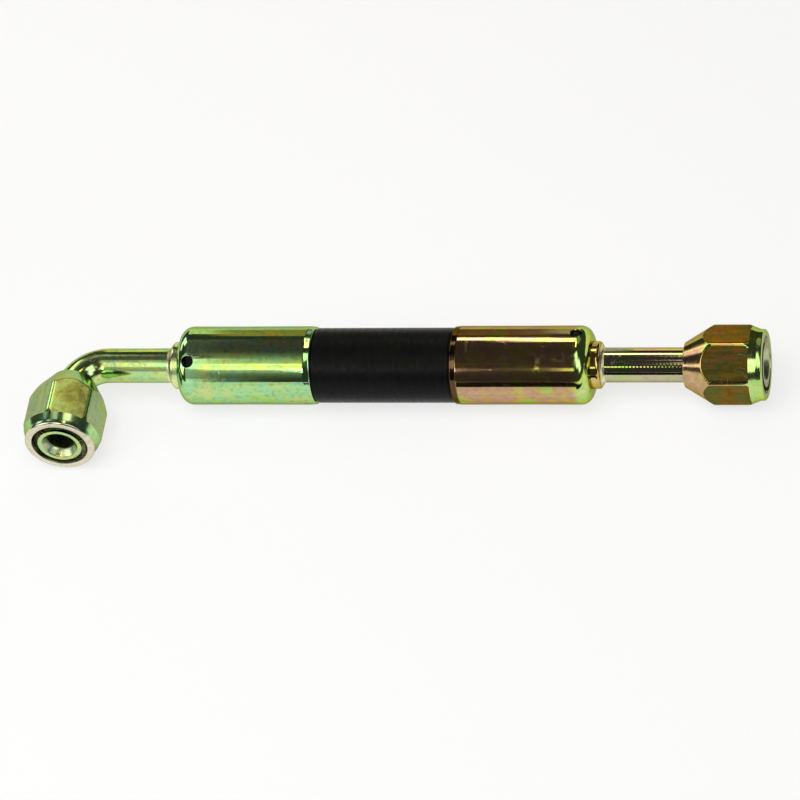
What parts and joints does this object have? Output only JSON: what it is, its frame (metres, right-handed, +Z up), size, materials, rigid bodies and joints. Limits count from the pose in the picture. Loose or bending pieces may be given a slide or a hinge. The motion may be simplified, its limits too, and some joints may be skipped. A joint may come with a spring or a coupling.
{
  "type": "hydraulic hose assembly",
  "caption": "Short crimped hydraulic hose with a 90 degree elbow end and a straight end, each a flared steel tube with a loose swivel nut.",
  "frame": {"origin": "middle of the assembly's footprint, on the flat surface it lies on", "axes": "+X along the hose from the elbow end to the straight end, -Y the way the elbow's outlet points, +Z up"},
  "size_m": [0.2034, 0.0394, 0.0216],
  "materials": {
    "elbow_plating": "yellow zinc plating with a green cast",
    "straight_plating": "yellow zinc plating with a gold cast",
    "sleeve_plating": "pale yellow zinc plating",
    "braze": "plated brazing fillet",
    "cover_rubber": "black wrapped rubber",
    "inner_rubber": "black rubber",
    "spiral_wire": "brassed steel wire"
  },
  "bodies": {
    "hose_and_ends": {"elbow_tube": "elbow_plating", "elbow_stem": "elbow_plating", "elbow_braze": "braze", "elbow_ferrule": "elbow_plating", "straight_tube": "straight_plating", "straight_stem": "straight_plating", "straight_braze": "braze", "straight_ferrule": "straight_plating", "hose_inner_tube": "inner_rubber", "hose_wire_ply_1": "spiral_wire", "hose_gum_ply_1": "inner_rubber", "hose_wire_ply_2": "spiral_wire", "hose_gum_ply_2": "inner_rubber", "hose_wire_ply_3": "spiral_wire", "hose_gum_ply_3": "inner_rubber", "hose_wire_ply_4": "spiral_wire", "hose_cover": "cover_rubber"},
    "elbow_sleeve": {"elbow_sleeve": "sleeve_plating"},
    "elbow_nut": {"elbow_nut": "elbow_plating"},
    "straight_sleeve": {"straight_sleeve": "sleeve_plating"},
    "straight_nut": {"straight_nut": "straight_plating"}
  },
  "joints": [
    {"name": "elbow_nut_slide", "type": "slide", "parent": "hose_and_ends", "child": "elbow_sleeve", "axis": [0, -1, 0], "range_m": [0, 0.008]},
    {"name": "elbow_nut_swivel", "type": "hinge", "parent": "elbow_sleeve", "child": "elbow_nut", "pos_m": [-0.09118, -0.0197, 0.0108], "axis": [0, -1, 0], "continuous": true},
    {"name": "straight_nut_slide", "type": "slide", "parent": "hose_and_ends", "child": "straight_sleeve", "axis": [1, 0, 0], "range_m": [-0.0215, 0.008]},
    {"name": "straight_nut_swivel", "type": "hinge", "parent": "straight_sleeve", "child": "straight_nut", "pos_m": [0.10172, 0.0089, 0.0108], "axis": [1, 0, 0], "continuous": true}
  ]
}
